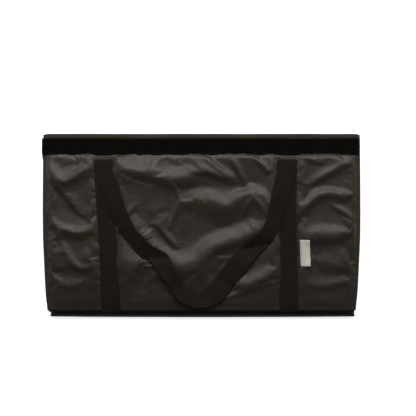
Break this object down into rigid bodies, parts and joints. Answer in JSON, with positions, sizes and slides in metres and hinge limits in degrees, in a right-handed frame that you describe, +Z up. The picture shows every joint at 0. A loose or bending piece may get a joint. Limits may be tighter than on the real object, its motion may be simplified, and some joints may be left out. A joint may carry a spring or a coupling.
{
  "type": "foldable tote bag",
  "caption": "Wide fabric tote that folds flat: two walls, folding side gussets and boarded base, webbing handles, taped mouth.",
  "frame": {"origin": "centre of the folded stack's footprint, on the surface that the bag lies on", "axes": "+X across the bag, +Y towards the mouth, +Z up through the folded stack from the back wall to the front wall"},
  "size_m": [0.51, 0.2904, 0.0196],
  "materials": {
    "shell_fabric": "coated nylon, soft sheen",
    "binding": "folded shell cloth",
    "mouth_tape": "matt napped tape",
    "piping": "bound edge",
    "webbing": "ribbed webbing",
    "thread": "polyester thread",
    "base_board": "plain sheet",
    "label": "woven tag"
  },
  "bodies": {
    "back": {"back_panel": "shell_fabric", "back_mouth_binding": "binding", "back_mouth_tape": "mouth_tape", "back_bottom_piping": "piping", "back_handle_bartacks": "thread", "back_left_side_piping": "piping", "back_left_handle_leg": "webbing", "back_right_side_piping": "piping", "back_right_handle_leg": "webbing"},
    "left_gusset_back": {"back_left_gusset": "shell_fabric", "back_left_gusset_tape": "mouth_tape"},
    "left_gusset_front": {"front_left_gusset": "shell_fabric", "front_left_gusset_tape": "mouth_tape"},
    "front": {"front_panel": "shell_fabric", "front_mouth_binding": "binding", "front_mouth_tape": "mouth_tape", "front_bottom_piping": "piping", "front_handle_bartacks": "thread", "front_left_side_piping": "piping", "front_left_handle_leg": "webbing", "front_right_side_piping": "piping", "front_right_handle_leg": "webbing", "side_label": "label"},
    "right_gusset_back": {"back_right_gusset": "shell_fabric", "back_right_gusset_tape": "mouth_tape"},
    "right_gusset_front": {"front_right_gusset": "shell_fabric", "front_right_gusset_tape": "mouth_tape"},
    "base_back": {"back_base_sleeve": "shell_fabric", "back_base_board": "base_board", "back_left_base_web": "shell_fabric", "back_right_base_web": "shell_fabric"},
    "base_front": {"front_base_sleeve": "shell_fabric", "front_base_board": "base_board", "front_left_base_web": "shell_fabric", "front_right_base_web": "shell_fabric"},
    "front_handle": {"front_handle_loop": "webbing"},
    "back_handle": {"back_handle_loop": "webbing"}
  },
  "joints": [
    {"name": "unfold", "type": "hinge", "parent": "back", "child": "left_gusset_back", "pos_m": [-0.241, -0.136, 0.0082], "axis": [0.0246, -0.9997, 0], "range_deg": [0, 90]},
    {"name": "left_gusset_fold", "type": "hinge", "parent": "left_gusset_back", "child": "left_gusset_front", "pos_m": [-0.16102, -0.13403, 0.0098], "axis": [0.0246, -0.9997, 0], "range_deg": [-180, 0]},
    {"name": "left_front_seam", "type": "hinge", "parent": "left_gusset_front", "child": "front", "pos_m": [-0.241, -0.136, 0.0114], "axis": [0.0246, -0.9997, 0], "range_deg": [0, 90]},
    {"name": "right_back_seam", "type": "hinge", "parent": "back", "child": "right_gusset_back", "pos_m": [0.241, -0.136, 0.0082], "axis": [0.0246, 0.9997, 0], "range_deg": [0, 90]},
    {"name": "right_gusset_fold", "type": "hinge", "parent": "right_gusset_back", "child": "right_gusset_front", "pos_m": [0.16102, -0.13403, 0.0098], "axis": [0.0246, 0.9997, 0], "range_deg": [-180, 0]},
    {"name": "base_back_seam", "type": "hinge", "parent": "back", "child": "base_back", "pos_m": [0, -0.136, 0.0082], "axis": [1, 0, 0], "range_deg": [0, 90], "deforming": ["back_left_base_web", "back_right_base_web"]},
    {"name": "base_fold", "type": "hinge", "parent": "base_back", "child": "base_front", "pos_m": [0, -0.056, 0.0098], "axis": [1, 0, 0], "range_deg": [-180, 0], "deforming": ["front_left_base_web", "front_right_base_web"]},
    {"name": "front_handle_hinge", "type": "hinge", "parent": "front", "child": "front_handle", "pos_m": [0, 0.1046, 0.0188], "axis": [-1, 0, 0], "range_deg": [0, 180]},
    {"name": "back_handle_hinge", "type": "hinge", "parent": "back", "child": "back_handle", "pos_m": [0, 0.0981, 0.0008], "axis": [1, 0, 0], "range_deg": [0, 180]}
  ],
  "couplings": [
    {"joint": "left_gusset_fold", "follows": "unfold", "ratio": -2},
    {"joint": "left_front_seam", "follows": "unfold", "ratio": 1},
    {"joint": "right_back_seam", "follows": "unfold", "ratio": 1},
    {"joint": "right_gusset_fold", "follows": "unfold", "ratio": -2},
    {"joint": "base_back_seam", "follows": "unfold", "ratio": 1},
    {"joint": "base_fold", "follows": "unfold", "ratio": -2}
  ]
}
